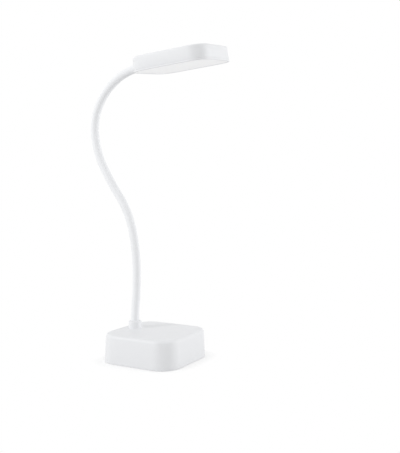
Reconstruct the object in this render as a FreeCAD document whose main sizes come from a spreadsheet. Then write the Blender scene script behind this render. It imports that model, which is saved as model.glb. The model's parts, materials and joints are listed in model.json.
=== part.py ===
"""Rechargeable gooseneck desk lamp, about 370 mm tall, on a rounded-square base.

Frame: millimetres, +Z up, origin at the centre of the base's underside on the table.
The lamp's front faces -Y; its neck rises from the back half of the base's top.
The neck is a chain of curved links that meet in knuckle joints, turned fore and aft or
sideways by turns.
"""
import FreeCAD, Part
import math
import os

import Sketcher
from FreeCAD import Placement, Rotation, Vector

# Driving dimensions: lengths in mm, angles in degrees.
DIMENSIONS = {
    # base housing
    "base_width": 100.0,
    "base_height": 33.7,
    "base_corner": 23.0,
    "base_draft": 2.9,
    "base_top_round": 3.8,
    "base_wall": 2.4,
    "base_top_wall": 2.6,
    "table_gap": 0.6,
    # underside
    "pad_margin": 0.5,
    "pad_thickness": 1.5,
    "cover_thickness": 2.2,
    "cover_fit": 0.4,
    "post_margin": 12.9,
    "post_width": 7.2,
    "foot_height": 3.4,
    # screws
    "screw_radius": 1.3,
    "screw_head_radius": 2.4,
    "screw_head_height": 1.4,
    "screw_bite": 7.0,
    "small_screw_radius": 0.9,
    "small_screw_head_radius": 1.7,
    "small_screw_head_height": 1.1,
    "small_screw_bite": 3.2,
    "thread_fit": 0.05,
    "hole_fit": 0.3,
    # what the base holds
    "ballast_gap": 1.4,
    "ballast_reach": 2.0,
    "ballast_behind": 18.0,
    "cell_radius": 9.2,
    "cell_length": 65.0,
    "cell_gap": 13.4,
    "cell_headroom": 2.0,
    "cell_cap": 1.1,
    "cradle_floor": 1.0,
    "cradle_rib": 4.0,
    "board_width": 44.0,
    "board_depth": 32.0,
    "board_thickness": 1.6,
    "standoff_height": 4.4,
    "standoff_width": 4.8,
    "board_hole_inset": 3.2,
    "touch_margin": 25.0,
    "touch_radius": 7.0,
    "touch_foil": 0.3,
    "touch_board_width": 16.0,
    "touch_board_thickness": 1.2,
    # charging socket
    "socket_width": 8.94,
    "socket_height": 3.26,
    "socket_depth": 7.3,
    "socket_skin": 0.35,
    "tongue_width": 6.7,
    "tongue_thickness": 0.7,
    "port_fit": 0.35,
    # neck
    "neck_margin": 19.9,
    "neck_radius": 5.0,
    "sleeve_wall": 1.9,
    "hose_wall": 1.5,
    "lead_radius": 1.2,
    "lining_fit": 0.1,
    "link_length": 44.8,
    "link_gap": 0.3,
    "run_turn": 8.5,
    # turns of the half link in the base, the seven links and the half link in the head
    "link_1_turn": -5.3,
    "link_2_turn": 7.2,
    "link_3_turn": 11.6,
    "link_4_turn": 23.3,
    "link_5_turn": -7.0,
    "link_6_turn": -24.9,
    "link_7_turn": -39.8,
    "link_8_turn": -32.3,
    "link_9_turn": -19.6,
    # neck ends
    "collar_radius": 7.4,
    "collar_height": 9.3,
    "collar_bevel": 0.9,
    "head_collar_radius": 6.5,
    "head_collar_height": 9.0,
    "thread_radius": 4.0,
    "thread_length": 12.0,
    "flange_thickness": 1.6,
    "nut_across_flats": 10.0,
    "nut_thickness": 3.4,
    "seat_width": 18.0,
    "seat_thickness": 2.4,
    "head_seat_thickness": 1.2,
    # head
    "head_width": 79.8,
    "head_depth": 98.9,
    "head_height": 17.3,
    "head_corner": 19.1,
    "head_draft": 3.0,
    "head_bevel": 1.4,
    "head_roll": -9.1,
    "head_wall": 2.0,
    "head_seat_rise": 0.5,
    "bezel_height": 2.2,
    "bezel_rim": 1.6,
    "bezel_ledge": 2.4,
    "bezel_lip": 1.0,
    "diffuser_thickness": 1.1,
    "diffuser_inset": 0.3,
    "led_board_margin": 6.0,
    "led_board_back": 22.0,
    "led_board_thickness": 1.6,
    "led_board_drop": 3.2,
    "led_columns": 5.0,
    "led_rows": 6.0,
    "led_side_margin": 11.0,
    "led_end_margin": 9.0,
    "led_width": 3.5,
    "led_depth": 2.8,
    "led_thickness": 0.7,
    "plug_width": 8.0,
    "plug_depth": 5.0,
    "plug_height": 4.0,
}

SIDEWAYS = Vector(1, 0, 0)
# flats on round features: screws and their holes, fittings, trim rings, neck layers, knuckles
SCREW_SIDES = 8
FITTING_SIDES = 24
COLLAR_SIDES = 36
NECK_SIDES = 20
BORE_SIDES = 10
LEAD_SIDES = 6
KNUCKLE_SIDES = 20
# bevels that stand for the round over the base's top edge
CROWN_STEPS = 3
# corner radius of a slot's rounded end, as a share of half its height
STADIUM = 0.98

document = FreeCAD.newDocument("desk_lamp")
sheet = document.addObject("Spreadsheet::Sheet", "Sizes")
for row, (alias, number) in enumerate(DIMENSIONS.items(), start=1):
    sheet.set(f"A{row}", alias)
    sheet.set(f"B{row}", str(number))
    sheet.setAlias(f"B{row}", alias)
document.recompute()


# ---------------------------------------------------------------- sizes and bindings


class Size:
    """A dimension worked out from the sheet: its formula for setExpression and its value."""

    def __init__(self, formula, value):
        self.formula = formula
        self.value = value

    def __add__(self, other):
        other = as_size(other)
        return Size(f"({self.formula} + {other.formula})", self.value + other.value)

    def __sub__(self, other):
        other = as_size(other)
        return Size(f"({self.formula} - {other.formula})", self.value - other.value)

    def __mul__(self, other):
        other = as_size(other)
        return Size(f"({self.formula} * {other.formula})", self.value * other.value)

    def __truediv__(self, other):
        other = as_size(other)
        return Size(f"({self.formula} / {other.formula})", self.value / other.value)

    def __neg__(self):
        return Size(f"(0 - {self.formula})", -self.value)


def as_size(number):
    """Wrap a plain number so that it can be joined with sizes."""
    return number if isinstance(number, Size) else Size(repr(float(number)), float(number))


def size(alias):
    """One driving dimension of the sheet."""
    return Size(f"Sizes.{alias}", float(sheet.get(alias)))


def slope(angle):
    """How far a face drafted by this angle leans per millimetre of height."""
    return Size(f"tan({angle.formula} * 1 deg)", math.tan(math.radians(angle.value)))


def bind(thing, **properties):
    """Tie an object's properties to sizes."""
    for name, value in properties.items():
        thing.setExpression(name, as_size(value).formula)


def vector(x, y, z):
    """A point or direction from three sizes."""
    return Vector(*(as_size(value).value for value in (x, y, z)))


# ---------------------------------------------------------------- sketches and features


def new_body(label, placement=Placement()):
    """A PartDesign body for one sub-part, in its own placement."""
    body = document.addObject("PartDesign::Body", "body_" + label)
    body.Label = label
    body.Placement = placement
    return body


def sketch_on(body, role, height):
    """An empty sketch on one of the body's own origin planes, lifted along its normal."""
    plane = next(item for item in body.Origin.OriginFeatures if item.Role == role)
    sketch = body.newObject("Sketcher::SketchObject", "sketch")
    sketch.AttachmentSupport = [(plane, "")]
    sketch.MapMode = "FlatFace"
    sketch.setExpression("AttachmentOffset.Base.z", as_size(height).formula)
    return sketch


def fix(sketch, kind, first, first_point, second, second_point, value):
    """A distance between two points of a sketch, bound to a size."""
    value = as_size(value)
    if abs(value.value) < 1e-6:
        axis = -2 if kind == "DistanceX" else -1
        sketch.addConstraint(Sketcher.Constraint("PointOnObject", second, second_point, axis))
        return
    index = sketch.addConstraint(
        Sketcher.Constraint(kind, first, first_point, second, second_point, value.value)
    )
    sketch.setExpression(f"Constraints[{index}]", value.formula)


def draw_rounded(sketch, width, depth, corner, x=0, y=0):
    """A rectangle with rounded corners, centred on (x, y)."""
    half_x, half_y, radius = width.value / 2, depth.value / 2, corner.value
    middle = vector(x, y, 0)
    lines, arcs = [], []
    for quarter in range(4):
        start = math.radians(90 * quarter - 90)
        sign_x = 1 if quarter in (0, 1) else -1
        sign_y = 1 if quarter in (1, 2) else -1
        centre = middle + Vector(sign_x * (half_x - radius), sign_y * (half_y - radius), 0)
        circle = Part.Circle(centre, Vector(0, 0, 1), radius)
        arcs.append(Part.ArcOfCircle(circle, start, start + math.pi / 2))
    arc_ids = sketch.addGeometry(arcs)
    for quarter in range(4):
        begin, end = arcs[quarter - 1].EndPoint, arcs[quarter].StartPoint
        lines.append(Part.LineSegment(begin, end))
    line_ids = sketch.addGeometry(lines)
    for quarter in range(4):
        line, before, after = line_ids[quarter], arc_ids[quarter - 1], arc_ids[quarter]
        sketch.addConstraint(Sketcher.Constraint("Tangent", before, 2, line, 1))
        sketch.addConstraint(Sketcher.Constraint("Tangent", line, 2, after, 1))
        direction = "Vertical" if quarter in (1, 3) else "Horizontal"
        sketch.addConstraint(Sketcher.Constraint(direction, line))
    for arc in arc_ids[1:]:
        sketch.addConstraint(Sketcher.Constraint("Equal", arc_ids[0], arc))
    index = sketch.addConstraint(Sketcher.Constraint("Radius", arc_ids[0], radius))
    sketch.setExpression(f"Constraints[{index}]", corner.formula)
    fix(sketch, "DistanceX", arc_ids[2], 3, arc_ids[1], 3, width - corner * 2)
    fix(sketch, "DistanceY", arc_ids[0], 3, arc_ids[1], 3, depth - corner * 2)
    fix(sketch, "DistanceX", -1, 1, arc_ids[1], 3, as_size(x) + width / 2 - corner)
    fix(sketch, "DistanceY", -1, 1, arc_ids[1], 3, as_size(y) + depth / 2 - corner)


def draw_rectangle(sketch, width, depth, x=0, y=0):
    """A rectangle centred on (x, y)."""
    x, y = as_size(x), as_size(y)
    draw_outline(sketch, [
        (x + width / 2 * side_x, y + depth / 2 * side_y)
        for side_x, side_y in ((-1, -1), (1, -1), (1, 1), (-1, 1))
    ])


def draw_square(sketch, width, x=0, y=0):
    """A square centred on (x, y)."""
    draw_rectangle(sketch, width, width, x, y)


def draw_flats(sketch, radius, sides, x=0, y=0):
    """A regular outline with a few flats, its first corner towards +X."""
    x, y, radius = as_size(x), as_size(y), as_size(radius)
    angles = [math.tau * side / sides for side in range(sides)]
    draw_outline(sketch, [
        (x + radius * math.cos(a), y + radius * math.sin(a)) for a in angles
    ])


def draw_outline(sketch, points):
    """A closed outline of straight lines through points that are pairs of sizes."""
    places = [vector(x, y, 0) for x, y in points]
    closed = places[1:] + places[:1]
    lines = sketch.addGeometry([Part.LineSegment(a, b) for a, b in zip(places, closed)])
    for index, line in enumerate(lines):
        after = lines[(index + 1) % len(lines)]
        sketch.addConstraint(Sketcher.Constraint("Coincident", line, 2, after, 1))
        fix(sketch, "DistanceX", -1, 1, line, 1, points[index][0])
        fix(sketch, "DistanceY", -1, 1, line, 1, points[index][1])


def feature(body, kind, sketch, **properties):
    """A sketched feature, with its sizes bound and its sketch hidden in it."""
    made = body.newObject("PartDesign::" + kind, kind.lower())
    made.Profile = sketch
    bind(made, **properties)
    return made


def pad(body, sketch, length, **properties):
    """Material from a sketch along its normal."""
    return feature(body, "Pad", sketch, Length=length, **properties)


def pocket(body, sketch, length, along=True, **properties):
    """A cut from a sketch, along its normal or against it; it has to remove something."""
    document.recompute()
    before = body.Shape.Volume
    cut = feature(body, "Pocket", sketch, Length=length, **properties)
    cut.Reversed = along
    document.recompute()
    if not body.Shape.Volume < before:
        raise ValueError(f"the pocket in {body.Label} cuts nothing")
    return cut


def dress_edges(body, base, kind, chosen, **properties):
    """A fillet or chamfer on the edges of a feature that a test picks."""
    document.recompute()
    names = [f"Edge{n}" for n, edge in enumerate(base.Shape.Edges, start=1) if chosen(edge)]
    dressed = body.newObject("PartDesign::" + kind, kind.lower())
    dressed.Base = (base, names)
    bind(dressed, **properties)
    document.recompute()
    return dressed


def level_at(height):
    """A test for edges that lie flat at one height."""
    z = as_size(height).value
    return lambda edge: abs(edge.BoundBox.ZMin - z) < 1e-4 and abs(edge.BoundBox.ZMax - z) < 1e-4


def four_times(body, originals):
    """Repeat features at four places round the body's Z axis."""
    pattern = body.newObject("PartDesign::PolarPattern", "pattern")
    pattern.Originals = originals
    pattern.Axis = (next(i for i in body.Origin.OriginFeatures if i.Role == "Z_Axis"), [""])
    pattern.Angle = 360
    pattern.Occurrences = 4
    body.Tip = pattern
    return pattern


def prism(radius, height, sides, placement=Placement()):
    """A Part prism bound to sizes: a rod with a few flats."""
    made = document.addObject("Part::Prism", "prism")
    made.Polygon = sides
    bind(made, Circumradius=radius, Height=height)
    made.Placement = placement
    return made


def block(width, depth, height, corner, placement=Placement()):
    """A Part box bound to sizes, its low corner at a point given in the placement."""
    made = document.addObject("Part::Box", "box")
    bind(made, Length=width, Width=depth, Height=height)
    made.Placement = placement.multiply(Placement(corner, Rotation()))
    return made


def fuse(shapes):
    """Several solids as one."""
    made = document.addObject("Part::MultiFuse", "fuse")
    made.Shapes = shapes
    return made


def cut(base, tool):
    """One solid less another."""
    made = document.addObject("Part::Cut", "cut")
    made.Base = base
    made.Tool = tool
    return made


def group(label, solids):
    """Several like solids kept as one sub-part."""
    made = document.addObject("Part::Compound", "group_" + label)
    made.Links = solids
    made.Label = label
    return made


def screws(label, places, radius, bite, head_radius, head_height, placement=Placement()):
    """Plain screws that point along +Z, their heads below each place."""
    made = []
    for place in places:
        at_seat = placement.multiply(Placement(place, Rotation()))
        at_head = at_seat.multiply(Placement(vector(0, 0, -head_height), Rotation()))
        shank = prism(radius, bite, SCREW_SIDES, at_seat)
        head = prism(head_radius, head_height, SCREW_SIDES, at_head)
        made.append(fuse([shank, head]))
    return group(label, made)


# ---------------------------------------------------------------- base

cover_top = size("pad_thickness") + size("cover_thickness")
inner_top = size("base_height") - size("base_top_wall")
inner_width = size("base_width") - size("base_wall") * 2 - size("base_height") * 2 * slope(
    size("base_draft")
)
inner_corner = size("base_corner") - (size("base_width") - inner_width) / 2
post_foot = cover_top + size("foot_height")
post_place = inner_width / 2 - size("post_margin")
neck_back = size("base_width") / 2 - size("neck_margin")
touch_front = size("base_width") / 2 - size("touch_margin")
screw_seat = size("pad_thickness") + size("screw_head_height")
seat_face = inner_top - size("seat_thickness")
board_bottom = cover_top + size("standoff_height")
board_top = board_bottom + size("board_thickness")
board_back = inner_width / 2 - size("hole_fit")
board_middle = board_back - size("board_depth") / 2
board_front = board_back - size("board_depth")
cell_middle = board_front - size("cell_gap") - size("cell_radius")
ballast_width = post_place * 2 - size("post_width") - size("ballast_gap") * 2
ballast_front = -(post_place + size("ballast_reach"))
ballast_back = cell_middle + size("ballast_behind")
cell_level = inner_top - size("cell_headroom") - size("cell_radius")
cradle_foot = cell_level - size("cell_radius") - size("cradle_floor")
cover_width = inner_width - size("cover_fit") * 2
cover_corner = inner_corner - size("cover_fit")
board_hole_x = size("board_width") / 2 - size("board_hole_inset")
BOARD_HOLES = [(board_hole_x * side, board_middle) for side in (-1, 1)]
POSTS = [(post_place * x, post_place * y) for x in (-1, 1) for y in (-1, 1)]
socket_level = board_top + size("socket_height") / 2
socket_mouth = (
    size("base_width") / 2
    - (socket_level - size("table_gap")) * slope(size("base_draft"))
    - size("socket_skin")
)


def crown(body, level, width, corner):
    """The round over the base's top edge: a stack of bevels between points of its arc."""
    radius = size("base_top_round")
    angles = [math.pi / 2 * step / CROWN_STEPS for step in range(CROWN_STEPS + 1)]
    for low, high in zip(angles, angles[1:]):
        inset = radius * (1 - math.cos(low))
        outline = sketch_on(body, "XY_Plane", level + radius * math.sin(low))
        draw_rounded(outline, width - inset * 2, width - inset * 2, corner - inset)
        rise = radius * (math.sin(high) - math.sin(low))
        pad(body, outline, rise, TaperAngle=-math.degrees((low + high) / 2))


def base_housing():
    """The moulded cap of the base: drafted walls, rounded top edge, posts and neck seat."""
    body = new_body("base_housing")
    outline = sketch_on(body, "XY_Plane", size("table_gap"))
    draw_rounded(outline, size("base_width"), size("base_width"), size("base_corner"))
    shoulder = size("base_height") - size("base_top_round")
    height = shoulder - size("table_gap")
    pad(body, outline, height, TaperAngle=-size("base_draft"))
    lean = height * slope(size("base_draft"))
    crown(body, shoulder, size("base_width") - lean * 2, size("base_corner") - lean)
    inside = sketch_on(body, "XY_Plane", size("table_gap"))
    draw_rounded(inside, inner_width, inner_width, inner_corner)
    pocket(body, inside, inner_top - size("table_gap"))
    post_sketch = sketch_on(body, "XY_Plane", post_foot)
    draw_square(post_sketch, size("post_width"), post_place, post_place)
    post = pad(body, post_sketch, inner_top - post_foot + size("base_top_wall") / 2)
    pilot_sketch = sketch_on(body, "XY_Plane", post_foot)
    pilot_radius = size("screw_radius") + size("thread_fit")
    draw_flats(pilot_sketch, pilot_radius, SCREW_SIDES, post_place, post_place)
    pilot = pocket(body, pilot_sketch, size("screw_bite") + size("hole_fit"))
    four_times(body, [post, pilot])
    seat_sketch = sketch_on(body, "XY_Plane", seat_face)
    draw_square(seat_sketch, size("seat_width"), 0, neck_back)
    pad(body, seat_sketch, size("seat_thickness") + size("base_top_wall") / 2)
    neck_hole = sketch_on(body, "XY_Plane", seat_face)
    hole_radius = size("thread_radius") + size("hole_fit")
    draw_flats(neck_hole, hole_radius, FITTING_SIDES, 0, neck_back)
    pocket(body, neck_hole, size("base_height") - seat_face)
    port = sketch_on(body, "XZ_Plane", -(size("base_width") / 2))
    port_width = size("socket_width") + size("port_fit") * 2
    port_height = size("socket_height") + size("port_fit") * 2
    draw_rounded(port, port_width, port_height, port_height / 2 * STADIUM, 0, socket_level)
    pocket(body, port, (size("base_width") - inner_width) / 2 + size("hole_fit"))
    return body


def base_bottom_cover():
    """The plate that closes the base, with screw counterbores and board standoffs."""
    body = new_body("base_bottom_cover")
    outline = sketch_on(body, "XY_Plane", size("pad_thickness"))
    draw_rounded(outline, cover_width, cover_width, cover_corner)
    pad(body, outline, size("cover_thickness"))
    foot_sketch = sketch_on(body, "XY_Plane", cover_top)
    draw_square(foot_sketch, size("post_width"), post_place, post_place)
    foot = pad(body, foot_sketch, post_foot - cover_top)
    hole_sketch = sketch_on(body, "XY_Plane", size("pad_thickness"))
    hole_radius = size("screw_radius") + size("hole_fit")
    draw_flats(hole_sketch, hole_radius, SCREW_SIDES, post_place, post_place)
    hole = pocket(body, hole_sketch, post_foot - size("pad_thickness"))
    sink_sketch = sketch_on(body, "XY_Plane", size("pad_thickness"))
    sink_radius = size("screw_head_radius") + size("hole_fit")
    draw_flats(sink_sketch, sink_radius, SCREW_SIDES, post_place, post_place)
    sink = pocket(body, sink_sketch, size("screw_head_height"))
    four_times(body, [foot, hole, sink])
    standoffs = sketch_on(body, "XY_Plane", cover_top)
    for x, y in BOARD_HOLES:
        draw_rectangle(standoffs, size("standoff_width"), size("board_depth") / 2, x, y)
    pad(body, standoffs, size("standoff_height"))
    pilots = sketch_on(body, "XY_Plane", board_bottom)
    pilot_radius = size("small_screw_radius") + size("thread_fit")
    for x, y in BOARD_HOLES:
        draw_flats(pilots, pilot_radius, SCREW_SIDES, x, y)
    pocket(body, pilots, size("small_screw_bite") + size("hole_fit"), along=False)
    return body


def anti_slip_pad():
    """The soft pad that the lamp stands on; it also hides the cover's screws."""
    body = new_body("anti_slip_pad")
    outline = sketch_on(body, "XY_Plane", 0)
    width = cover_width - size("pad_margin") * 2
    draw_rounded(outline, width, width, cover_corner - size("pad_margin"))
    pad(body, outline, size("pad_thickness"))
    return body


def base_screws():
    """Four screws from below the cover into the housing's posts."""
    places = [vector(x, y, screw_seat) for x, y in POSTS]
    return screws(
        "base_screws", places, size("screw_radius"),
        post_foot - screw_seat + size("screw_bite"),
        size("screw_head_radius"), size("screw_head_height"),
    )


def ballast_plate():
    """The steel plate that keeps the lamp from tipping."""
    body = new_body("ballast_plate")
    outline = sketch_on(body, "XY_Plane", cover_top)
    middle = (ballast_front + ballast_back) / 2
    draw_rectangle(outline, ballast_width, ballast_back - ballast_front, 0, middle)
    pad(body, outline, cradle_foot - cover_top)
    return body


def battery_cell():
    """A cylindrical cell lying across the base, with its raised cap at the +X end."""
    turn = Rotation(Vector(0, 1, 0), 90)
    start = vector(size("cell_length") / -2, cell_middle, cell_level)
    body = new_body("battery_cell", Placement(start, turn))
    can = sketch_on(body, "XY_Plane", 0)
    draw_flats(can, size("cell_radius"), FITTING_SIDES)
    pad(body, can, size("cell_length") - size("cell_cap"))
    cap = sketch_on(body, "XY_Plane", size("cell_length") - size("cell_cap") * 2)
    draw_flats(cap, size("cell_radius") / 3, SCREW_SIDES)
    pad(body, cap, size("cell_cap") * 2)
    return body


def battery_cradle():
    """The plastic tray that holds the cell between two saddle ribs."""
    body = new_body("battery_cradle")
    depth = size("cell_radius") * 2
    width = ballast_width
    floor_sketch = sketch_on(body, "XY_Plane", cradle_foot)
    draw_rectangle(floor_sketch, width, depth, 0, cell_middle)
    pad(body, floor_sketch, size("cradle_floor"))
    ribs = sketch_on(body, "XY_Plane", cradle_foot + size("cradle_floor") / 2)
    reach = width / 2 - size("cradle_rib") / 2
    for side in (-1, 1):
        draw_rectangle(ribs, size("cradle_rib"), depth, reach * side, cell_middle)
    pad(body, ribs, size("cell_radius"))
    saddle = sketch_on(body, "YZ_Plane", -width)
    saddle_radius = size("cell_radius") + size("lining_fit")
    draw_flats(saddle, saddle_radius, FITTING_SIDES, cell_middle, cell_level)
    pocket(body, saddle, width * 2)
    return body


def control_board():
    """The charging and dimming board on the cover's standoffs."""
    body = new_body("control_board")
    outline = sketch_on(body, "XY_Plane", board_bottom)
    draw_rectangle(outline, size("board_width"), size("board_depth"), 0, board_middle)
    hole_radius = size("small_screw_radius") + size("hole_fit")
    for x, y in BOARD_HOLES:
        draw_flats(outline, hole_radius, SCREW_SIDES, x, y)
    pad(body, outline, size("board_thickness"))
    return body


def board_screws():
    """Two small screws that hold the control board; they point down."""
    placement = Placement(vector(0, 0, board_top), Rotation(SIDEWAYS, 180))
    places = [vector(x, -y, 0) for x, y in BOARD_HOLES]
    return screws(
        "board_screws", places, size("small_screw_radius"),
        size("small_screw_bite") + size("board_thickness"),
        size("small_screw_head_radius"), size("small_screw_head_height"), placement,
    )


def board_components():
    """The parts on the control board: the neck's plug, a controller, a coil and a capacitor."""
    thick = size("plug_height")
    chip = size("plug_depth")
    neck_y = neck_back - chip / 2
    spots = [
        (size("plug_width"), chip, thick, -size("plug_width") / 2, neck_y),
        (chip, chip, thick / 4, -size("plug_width") * 2, neck_y),
        (chip, chip, thick * 0.75, size("plug_width"), neck_y),
        (chip, chip / 2, thick / 2, size("plug_width"), neck_y - chip),
    ]
    return group("board_components", [
        block(width, depth, height, vector(x, y, board_top))
        for width, depth, height, x, y in spots
    ])


def usb_socket():
    """The reversible charging socket: a rolled shell with its contact tongue."""
    body = new_body("usb_socket", Placement(vector(0, socket_mouth, 0), Rotation()))
    width, height, skin = size("socket_width"), size("socket_height"), size("socket_skin")
    shell = sketch_on(body, "XZ_Plane", 0)
    draw_rounded(shell, width, height, height / 2 * STADIUM, 0, socket_level)
    pad(body, shell, size("socket_depth"))
    mouth = sketch_on(body, "XZ_Plane", 0)
    room = height - skin * 2
    draw_rounded(mouth, width - skin * 2, room, room / 2 * STADIUM, 0, socket_level)
    pocket(body, mouth, size("socket_depth") - skin * 3)
    tongue = sketch_on(body, "XZ_Plane", size("tongue_thickness"))
    draw_rectangle(tongue, size("tongue_width"), size("tongue_thickness"), 0, socket_level)
    pad(body, tongue, size("socket_depth") - skin * 3)
    return body


touch_level = inner_top - size("touch_foil")


def touch_electrode():
    """The copper foil under the base's top that senses a finger."""
    body = new_body("touch_electrode")
    disc = sketch_on(body, "XY_Plane", touch_level)
    draw_flats(disc, size("touch_radius"), FITTING_SIDES, 0, -touch_front)
    pad(body, disc, size("touch_foil"))
    return body


def touch_board():
    """The small sensor board behind the foil."""
    body = new_body("touch_board")
    outline = sketch_on(body, "XY_Plane", touch_level - size("touch_board_thickness"))
    draw_square(outline, size("touch_board_width"), 0, -touch_front)
    pad(body, outline, size("touch_board_thickness"))
    return body


# ---------------------------------------------------------------- neck

bore_radius = size("neck_radius") - size("sleeve_wall")
hose_radius = bore_radius - size("lining_fit")
hose_bore = hose_radius - size("hose_wall")
TURNS = [size(f"link_{number}_turn") for number in range(1, 10)]
LINKS = len(TURNS)


def along(heading):
    """The direction that leans from vertical towards the back by some degrees."""
    angle = math.radians(heading)
    return Vector(0, math.sin(angle), math.cos(angle))


def across(heading):
    """The direction square to a heading, in the neck's plane."""
    angle = math.radians(heading)
    return Vector(0, math.cos(angle), -math.sin(angle))


def neck_frame(point, heading):
    """A placement whose Z axis runs along the neck and whose X axis is the lamp's."""
    return Placement(point, Rotation(SIDEWAYS, Vector(), along(heading), "ZXY"))


class Link:
    """One curved stretch of the neck, in the plane x = 0, as short straight runs."""

    def __init__(self, start, heading, length, turn):
        self.start = start
        self.heading = heading
        self.end_heading = heading + turn
        runs = max(1, math.ceil(abs(turn) / size("run_turn").value))
        self.run_turn = turn / runs
        half = math.radians(self.run_turn / 2)
        chord = length / runs * math.sin(half) / half
        self.points = [start]
        for run in range(runs):
            step = along(heading + self.run_turn * (run + 0.5)) * chord
            self.points.append(self.points[-1] + step)
        self.end = self.points[-1]

    def path(self, over):
        """The runs, the last one lengthened in a straight line."""
        last = (self.points[-1] - self.points[-2]).normalize()
        return self.points[:-1] + [self.end + last * over]


def neck_links():
    """Half a link fixed in the base, seven whole links, and half a link fixed in the head."""
    point = vector(0, neck_back, size("base_height") + size("collar_height"))
    heading = 0.0
    links = []
    for index, turn in enumerate(TURNS):
        halved = index in (0, LINKS - 1)
        length = size("link_length").value / (2 if halved else 1)
        link = Link(point, heading, length, turn.value)
        links.append(link)
        point, heading = link.end, link.end_heading
    return links


CHAIN = neck_links()


def swept(radius, points, sides):
    """A rod with a regular section, along straight runs with mitred corners."""
    route = document.addObject("Part::Polygon", "route")
    route.Nodes = points
    section = document.addObject("Part::RegularPolygon", "section")
    section.Polygon = sides
    bind(section, Circumradius=radius)
    direction = points[1] - points[0]
    section.Placement = Placement(points[0], Rotation(SIDEWAYS, Vector(), direction, "ZXY"))
    rod = document.addObject("Part::Sweep", "rod")
    rod.Sections = [section]
    rod.Spine = (route, [])
    rod.Solid = True
    rod.Transition = "Right corner"
    return rod


def rod_solids(index, radius, sides, reach_down, reach_up, reach_over):
    """One link's rod; at the neck's two ends it runs straight on into the fittings."""
    link = CHAIN[index]
    over = 0 if index == LINKS - 1 else as_size(reach_over).value
    solids = [swept(radius, link.path(over), sides)]
    if index == 0:
        top = neck_frame(link.start, link.heading)
        solids.append(straight(radius, reach_down, top, -1, sides))
    if index == LINKS - 1:
        solids.append(straight(radius, reach_up, neck_frame(link.end, link.end_heading), 1, sides))
    return solids


def straight(radius, length, frame, side, sides):
    """A straight rod from a frame, up or down its Z axis."""
    shift = vector(0, 0, -as_size(length)) if side < 0 else Vector()
    placement = frame.multiply(Placement(shift, Rotation()))
    return prism(radius, length, sides, placement)


def hinge_frame(index):
    """The joint below a link: Z along its axis, which is fore and aft or sideways by turns."""
    link = CHAIN[index]
    axis = SIDEWAYS if index % 2 else across(link.heading)
    return Placement(link.start, Rotation(Vector(), along(link.heading), axis, "ZYX"))


def knuckle(index, radius):
    """A barrel along the axis of the joint below a link, wider than the neck."""
    length = size("neck_radius") * 4
    middle = Placement(vector(0, 0, -length / 2), Rotation())
    return prism(radius, length, KNUCKLE_SIDES, hinge_frame(index).multiply(middle))


def beyond(index, margin):
    """The room past the joint below a link, outside its knuckle."""
    width = size("neck_radius") * 4
    room = block(width, width, width, vector(-width / 2, 0, -width / 2), hinge_frame(index))
    return cut(room, knuckle(index, size("neck_radius") - as_size(margin)))


sleeve_foot = size("collar_height") - size("flange_thickness") - size("hole_fit")
sleeve_tip = size("head_collar_height") - size("flange_thickness") - size("hole_fit")
hose_foot = size("collar_height") + size("base_top_wall") + size("seat_thickness")
hose_tip = size("head_collar_height") + size("head_wall") + size("head_seat_thickness")
lead_foot = size("collar_height") + size("base_height") - board_top - size("plug_height")
lead_tip = size("head_collar_height") + size("head_seat_rise") + size("led_board_back")


def neck_piece(name, index, solids, hollows, margin):
    """One layer of a link: rounded about the joint above, hollowed round the one below."""
    if index > 0:
        socket = (size("neck_radius") + size("link_gap")) / math.cos(math.pi / KNUCKLE_SIDES)
        hollows = hollows + [knuckle(index, socket)]
    if index < LINKS - 1:
        hollows = hollows + [beyond(index + 1, margin)]
    made = solids[0] if len(solids) == 1 else fuse(solids)
    if hollows:
        made = cut(made, hollows[0] if len(hollows) == 1 else fuse(hollows))
    made.Label = f"{name}_{index + 1}"
    return made


def neck_sleeve(index):
    """The soft outer tube of one link."""
    over = size("neck_radius") * 2
    solids = rod_solids(index, size("neck_radius"), NECK_SIDES, sleeve_foot, sleeve_tip, over)
    hollows = rod_solids(index, bore_radius, BORE_SIDES, sleeve_foot, sleeve_tip, over)
    return neck_piece("neck_sleeve", index, solids, hollows, 0)


def neck_hose(index):
    """The steel hose inside one link, which holds the pose."""
    over = size("neck_radius") * 2
    solids = rod_solids(index, hose_radius, BORE_SIDES, hose_foot, hose_tip, over)
    hollows = rod_solids(index, hose_bore, LEAD_SIDES, hose_foot, hose_tip, over)
    return neck_piece("neck_hose", index, solids, hollows, size("lining_fit"))


def neck_lead(index):
    """The power lead inside one link, from the control board to the lights."""
    over = size("neck_radius") * 2
    solids = rod_solids(index, size("lead_radius"), LEAD_SIDES, lead_foot, lead_tip, over)
    return neck_piece("neck_lead", index, solids, [], size("lining_fit") * 2)


# ---------------------------------------------------------------- neck ends


def collar(label, placement, radius, height):
    """The trim ring that covers a ferrule's flange, its top edge bevelled."""
    body = new_body(label, placement)
    outline = sketch_on(body, "XY_Plane", 0)
    draw_flats(outline, radius, COLLAR_SIDES)
    ring = pad(body, outline, height)
    dress_edges(body, ring, "Chamfer", level_at(height), Size=size("collar_bevel"))
    throat = sketch_on(body, "XY_Plane", 0)
    draw_flats(throat, size("neck_radius") + size("lining_fit"), FITTING_SIDES)
    pocket(body, throat, height)
    return body


def ferrule(label, placement):
    """The threaded end fitting that the hose is crimped into, with its flange."""
    body = new_body(label, placement)
    thread = sketch_on(body, "XY_Plane", -size("thread_length"))
    draw_flats(thread, size("thread_radius"), FITTING_SIDES)
    pad(body, thread, size("thread_length") + size("flange_thickness") / 2)
    flange = sketch_on(body, "XY_Plane", 0)
    draw_flats(flange, size("neck_radius"), FITTING_SIDES)
    pad(body, flange, size("flange_thickness"))
    bore = sketch_on(body, "XY_Plane", -size("thread_length"))
    draw_flats(bore, bore_radius, BORE_SIDES)
    pocket(body, bore, size("thread_length") + size("flange_thickness"))
    return body


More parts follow.
